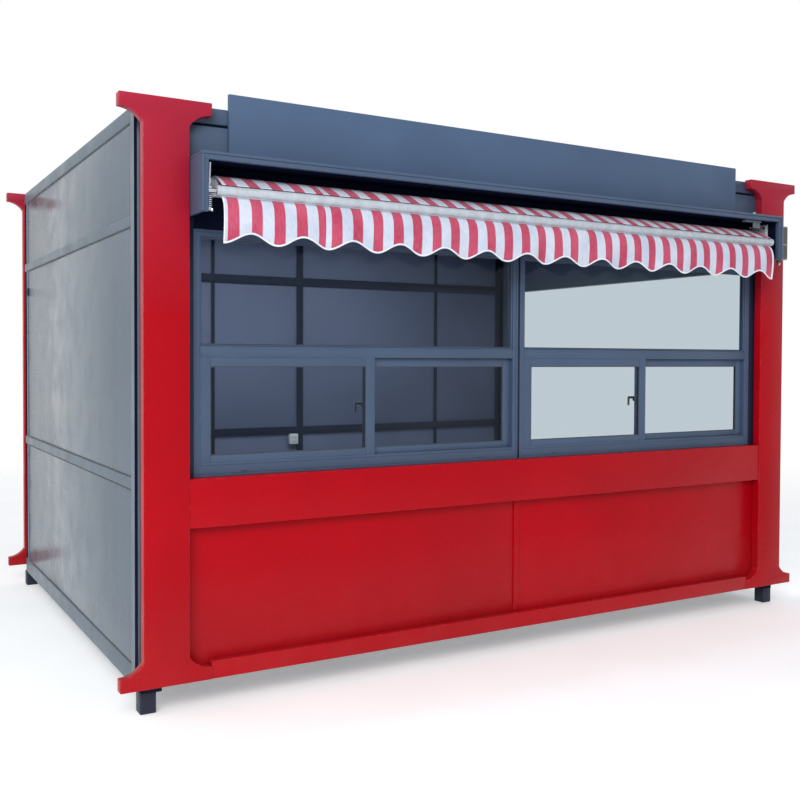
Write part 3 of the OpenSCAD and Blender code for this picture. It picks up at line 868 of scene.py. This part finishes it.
hood_low, hood_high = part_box("hood_end_left")
lever_x = hood_high.x + 0.010
bm = bmesh.new()
top = Vector((lever_x, bar_axis.y - 0.006, hood_high.z - 0.010))
elbow = Vector((lever_x + 0.004, bar_axis.y + 0.012, bar_axis.z + 0.052))
rod(bm, top, elbow, 0.005, 16, 0, 0.001)
rod(bm, elbow, elbow + Vector((0.001, 0.006, -0.034)), 0.008, 16, 0, 0.002)
bar(bm, elbow + Vector((-0.007, -0.006, -0.060)), elbow + Vector((0.009, 0.010, -0.034)), 0.002)
rod(bm, (lever_x - 0.006, bar_axis.y, bar_axis.z - 0.002), (bar_low.x, bar_axis.y, bar_axis.z - 0.002), 0.010, 20, 0, 0.002)
COILS, COIL_STEP, COIL_LONG = 7, 0.0085, 0.005
spring = Vector((lever_x + 0.002, bar_axis.y + 0.004, bar_axis.z))
for i in range(COILS):
    top = spring - Vector((0, 0, 0.022 + i * COIL_STEP))
    rod(bm, top, top - Vector((0, 0, COIL_LONG)), 0.012, 20, 0, 0.0018)
rod(bm, spring - Vector((0, 0, 0.018)), spring - Vector((0, 0, 0.086)), 0.008, 16, 1, 0.001)
for drift, height in ((-0.004, 0.088), (0.010, 0.090)):
    nut = Vector((lever_x + drift, bar_axis.y - 0.004, bar_axis.z - height))
    rod(bm, nut + Vector((0, 0, 0.012)), nut, 0.007, 6, 0, 0.001)
rod(bm, (lever_x, bar_axis.y - 0.002, bar_axis.z - 0.084),
    (hood_high.x - 0.012, bar_axis.y - 0.008, hood_low.z + 0.004), 0.0045, 12, 0, 0.001)
place_piece("awning_levers", bm, [plated, rubber], "white_metal")

low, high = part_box("awning_gearbox")
bm = bmesh.new()
bar(bm, (low.x, low.y, low.z + 0.030), (high.x, high.y, high.z), 0.007, 0, 3)
bar(bm, (low.x + 0.001, low.y - 0.0012, low.z + 0.118), (high.x + 0.0012, high.y + 0.001, low.z + 0.121), 0.0005, 1)
middle = Vector(((low.x + high.x) / 2, (low.y + high.y) / 2, 0))
rod(bm, (middle.x, middle.y, low.z + 0.034), (middle.x, middle.y, low.z + 0.012), 0.012, 20, 0, 0.002)
rod(bm, (middle.x - 0.006, middle.y, low.z + 0.010), (middle.x + 0.006, middle.y, low.z + 0.010), 0.010, 20, 1, 0.002)
for z in (0.25, 0.85):
    spot = Vector((high.x, middle.y, low.z + (high.z - low.z) * z))
    rod(bm, spot, spot + Vector((0.003, 0, 0)), 0.005, 16, 1, 0.001)
place_piece("awning_gear_cover", bm, [dark_cast, plated], "navy_steel", "awning_gearbox")

# %% [markdown]
# ## Awning cloth
# The strip over the bar and the valance are two runs of the same cloth. A grid is laid
# flat, and each of its points is then moved to where the cloth hangs: out from under
# the bar, forward in a soft bulge, then down, with shallow folds that grow towards the
# hem. A tape bound round the hem follows the same shape. A simulation would shake the
# scallops about for little gain, so the shape is given.

# %% Cloth helpers
SCALLOPS, CLOTH = 14, 0.0012
HEM_LOW, HEM_HIGH = cloth_high.z - cloth_low.z, cloth_high.z - cloth_low.z - 0.044


def wavelet(x, seed):
    long, short = 0.6 * math.sin(x * 23.9 + 1.7 * seed), 0.45 * math.sin(x * 41.0 + 2.9 * seed)
    return (math.sin(x * 11.3 + seed) + long + short) / 2.05


def valance_drop(x):
    share = (x - cloth_low.x) / (cloth_high.x - cloth_low.x)
    return (HEM_LOW + HEM_HIGH) / 2 + (HEM_LOW - HEM_HIGH) / 2 * math.cos(2 * math.pi * SCALLOPS * share)


def valance_point(x, down):
    """Where the cloth hangs, x along the bar and down metres from the bar."""
    reach = 0.030 * (1 - math.exp(-down / 0.022)) + 0.006 * math.sin(math.pi * min(1.0, down / 0.2))
    grow = min(1.0, down / 0.18)
    turn = 2 * math.pi * SCALLOPS * (x - cloth_low.x) / (cloth_high.x - cloth_low.x)
    fold = 0.0075 * grow * wavelet(x, 0.6) + 0.004 * grow * grow * math.cos(turn)
    return Vector((x + 0.003 * grow * wavelet(x + 0.4, 2.1), cloth_low.y - reach + fold, cloth_high.z - down * 0.992))


def cloth_grid(bm, across, along, shape):
    """A grid whose points are moved by shape(u, v), which also gives the cut's UV."""
    made = bmesh.ops.create_grid(bm, x_segments=across, y_segments=along, size=0.5)["verts"]
    layer = bm.loops.layers.uv.get("cut") or bm.loops.layers.uv.new("cut")
    cut = {}
    for vert in made:
        place, uv = shape(vert.co.x + 0.5, vert.co.y + 0.5)
        vert.co, cut[vert] = place, uv
    for face in {f for v in made for f in v.link_faces}:
        for loop in face.loops:
            loop[layer].uv = cut[loop.vert]


def thicken(piece, metres):
    wall = piece.modifiers.new("thickness", "SOLIDIFY")
    wall.thickness, wall.offset = metres, 0.0
    return piece


def lerp(a, b, t):
    return a + (b - a) * t


print("hem from", round(HEM_HIGH, 3), "to", round(HEM_LOW, 3), "m below the bar")

# %% [markdown]
# ## Valance and binding
# The valance is one hemmed cloth hung from the bar, cut in scallops and edged with a
# white tape. A grid bent by a few waves gives the soft folds of cloth that hangs free;
# simulated cloth would fall much the same way from a straight bar this short.

# %% Valance and its binding
bm = bmesh.new()
cloth_grid(bm, SCALLOPS * 24, 14, lambda u, v: (
    lambda x: (valance_point(x, valance_drop(x) * v), (x, -valance_drop(x) * v)))(lerp(cloth_low.x, cloth_high.x, u)))
valance = place_piece("valance_cloth", bm, [awning_cloth], "striped_cloth", "awning_valance", sharp=180.0)
valance = thicken(valance, CLOTH)

TAPE = 0.0085
bm = bmesh.new()
cloth_grid(bm, SCALLOPS * 24, 2, lambda u, v: (
    lambda x: (valance_point(x, valance_drop(x) + 0.0012 - TAPE * v), (x, v)))(lerp(cloth_low.x, cloth_high.x, u)))
for end, s in ((cloth_low.x, 1), (cloth_high.x, -1)):
    cloth_grid(bm, 2, 14, lambda u, v, end=end, s=s: (
        lambda x: (valance_point(x, valance_drop(x) * v), (x, v)))(end + s * (TAPE * u - 0.0008)))
binding = thicken(place_piece("valance_binding", bm, [binding_tape], "striped_cloth", sharp=180.0), 0.0036)

# %% [markdown]
# ## Strip between bar and roll
# Between the bar and the roll the cloth is pulled tight, so it is a plain sheet that
# starts on top of the bar and meets the roll at a tangent.

# %% Strip between bar and roll
low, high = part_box("awning_canopy")
start, stop = Vector((0, low.y + 0.0010, low.z + 0.0030)), Vector((0, high.y - 0.0015, high.z - 0.0010))
strip_long = (stop - start).length


def strip_point(u, v):
    x = lerp(cloth_low.x, cloth_high.x, u)
    across = start.lerp(stop, v)
    rise = 0.0022 * math.sin(math.pi * v) * (1 + 1.2 * wavelet(x * 1.4, 4.0))
    return Vector((x, across.y - rise * 0.5, across.z + rise)), (x, strip_long * v)


bm = bmesh.new()
cloth_grid(bm, 320, 10, strip_point)
strip = place_piece("canopy_cloth", bm, [awning_cloth], "striped_cloth", "awning_canopy", sharp=180.0)
strip = thicken(strip, CLOTH)
print("strip is", round(strip_long, 3), "m from bar to roll")

# %% [markdown]
# ## Small fittings
# A double socket on the rear wall's post, a white cap on the hood's roof, and a thin
# grey stay under it at the right. Small things like these give the eye a scale.

# %% Small fittings
low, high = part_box("wall_socket")
bm = bmesh.new()
bar(bm, (low.x + 0.004, low.y + 0.010, low.z + 0.004), (high.x - 0.004, high.y, high.z - 0.004), 0.003)
bar(bm, (low.x, low.y, low.z), (high.x, low.y + 0.011, high.z), 0.004, 0, 3)
for share in (0.3, 0.7):
    z = low.z + (high.z - low.z) * share
    bar(bm, (low.x + 0.014, low.y - 0.0015, z - 0.013), (high.x - 0.014, low.y + 0.002, z + 0.013), 0.0015)
    for shift in (-0.009, 0.009):
        middle = (low.x + high.x) / 2 + shift
        rod(bm, (middle, low.y - 0.0022, z), (middle, low.y, z), 0.0028, 12, 1)
place_piece("double_socket", bm, [plastic, rubber], "white_plastic", "wall_socket")

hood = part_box("hood_top_panel")
CAP_X, STAY_X = 1.576, (1.512, 1.651)
bm = bmesh.new()
spot = Vector((CAP_X, hood[0].y + 0.025, hood[1].z))
rod(bm, spot, spot + Vector((0, 0, 0.010)), 0.009, 24, 0, 0.003)
place_piece("hood_cap", bm, [enamel], "white_metal")
bm = bmesh.new()
bar(bm, (STAY_X[0], hood[0].y + 0.032, hood[0].z - 0.012), (STAY_X[1], hood[0].y + 0.060, hood[0].z - 0.0005), 0.002)
bar(bm, (CAP_X + 0.004, hood[0].y + 0.034, hood[0].z - 0.045),
    (CAP_X + 0.064, hood[0].y + 0.038, hood[0].z - 0.010), 0.001)
place_piece("hood_stay", bm, [post_paint], "slate_steel")

# %% [markdown]
# ## Lights and floor
# A wide soft panel stands high in front and to the left, so that the front and the left
# wall are both lit. A weaker one fills the wall, and a third hangs under the roof so
# that the room shows through the windows. The background is plain white to the eye,
# while a dimmer, cooler sky lights the paint.

# %% Place the lights and the floor
def soft_panel(name, place, aim, size, power):
    lamp = bpy.data.lights.new(name, "AREA")
    lamp.shape, lamp.size, lamp.size_y, lamp.energy = "RECTANGLE", size[0], size[1], power
    holder = bpy.data.objects.new(name, lamp)
    bpy.context.scene.collection.objects.link(holder)
    holder.location = place
    holder.rotation_euler = (Vector(aim) - Vector(place)).to_track_quat("-Z", "Y").to_euler()
    return holder


soft_panel("sky_panel", (-6.5, -8.0, 6.0), (-1.0, -1.0, 1.4), (6.0, 4.0), 620.0)
soft_panel("side_panel", (-9.0, 1.5, 4.5), (-2.0, 0.0, 1.2), (5.0, 4.0), 90.0)
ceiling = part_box("roof_panel")[0].z - 0.06
room_panel = soft_panel("room_panel", (-0.6, 0.0, ceiling), (-0.6, 0.1, 0.0), (2.6, 1.6), 82.0)
room_panel.visible_camera = False
room_panel.visible_glossy = False


def studio_world():
    world = bpy.data.worlds.new("studio")
    world.use_nodes = True
    bpy.context.scene.world = world
    tree = world.node_tree
    light, backdrop = tree.nodes["Background"], tree.nodes.new("ShaderNodeBackground")
    light.inputs["Color"].default_value = (0.90, 0.95, 1.0, 1.0)
    light.inputs["Strength"].default_value = 0.55
    backdrop.inputs["Strength"].default_value = 1.0
    backdrop.inputs["Color"].default_value = (1, 1, 1, 1)
    path, mix = tree.nodes.new("ShaderNodeLightPath"), tree.nodes.new("ShaderNodeMixShader")
    shown = path.outputs["Is Camera Ray"]
    for ray in ("Is Glossy Ray", "Is Transmission Ray"):
        either = tree.nodes.new("ShaderNodeMath")
        either.operation = "MAXIMUM"
        tree.links.new(shown, either.inputs[0])
        tree.links.new(path.outputs[ray], either.inputs[1])
        shown = either.outputs[0]
    tree.links.new(shown, mix.inputs[0])
    tree.links.new(light.outputs[0], mix.inputs[1])
    tree.links.new(backdrop.outputs[0], mix.inputs[2])
    tree.links.new(mix.outputs[0], tree.nodes["World Output"].inputs["Surface"])


studio_world()


def studio_floor(radius=15.0):
    bm = bmesh.new()
    bmesh.ops.create_circle(bm, cap_ends=True, segments=96, radius=radius)
    mesh = bpy.data.meshes.new("studio_floor")
    bm.to_mesh(mesh)
    bm.free()
    floor = bpy.data.objects.new("studio_floor", mesh)
    bpy.context.scene.collection.objects.link(floor)
    pale = Finish("pale_floor")
    cloud = pale.spread(pale.noise(2.0, 4.0), 0.0, 1.0)
    pale.join(pale.blend(cloud, (0.93, 0.93, 0.93, 1), (0.97, 0.97, 0.97, 1)), pale.shader.inputs["Base Color"])
    pale.shader.inputs["Roughness"].default_value = 0.8
    pale.shader.inputs["Emission Color"].default_value = (1, 1, 1, 1)
    pale.shader.inputs["Emission Strength"].default_value = 0.28
    pale.shader.inputs["Specular IOR Level"].default_value = 0.1
    flat = pale.add("ShaderNodeVectorMath", operation="LENGTH")
    pale.join(pale.place, flat.inputs[0])
    fade = pale.spread(flat.outputs["Value"], 0.0, 1.0, 3.2, 9.5)
    clear, mix = pale.add("ShaderNodeBsdfTransparent"), pale.add("ShaderNodeMixShader")
    pale.join(fade, mix.inputs[0])
    pale.join(pale.shader.outputs[0], mix.inputs[1])
    pale.join(clear.outputs[0], mix.inputs[2])
    pale.join(mix.outputs[0], pale.out.inputs["Surface"])
    mesh.materials.append(pale.made)


studio_floor()
print("studio ready")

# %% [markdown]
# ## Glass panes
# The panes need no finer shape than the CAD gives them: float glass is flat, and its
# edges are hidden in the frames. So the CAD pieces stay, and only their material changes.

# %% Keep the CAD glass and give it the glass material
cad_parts["window_glass"].data.materials.clear()
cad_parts["window_glass"].data.materials.append(tinted_glass)
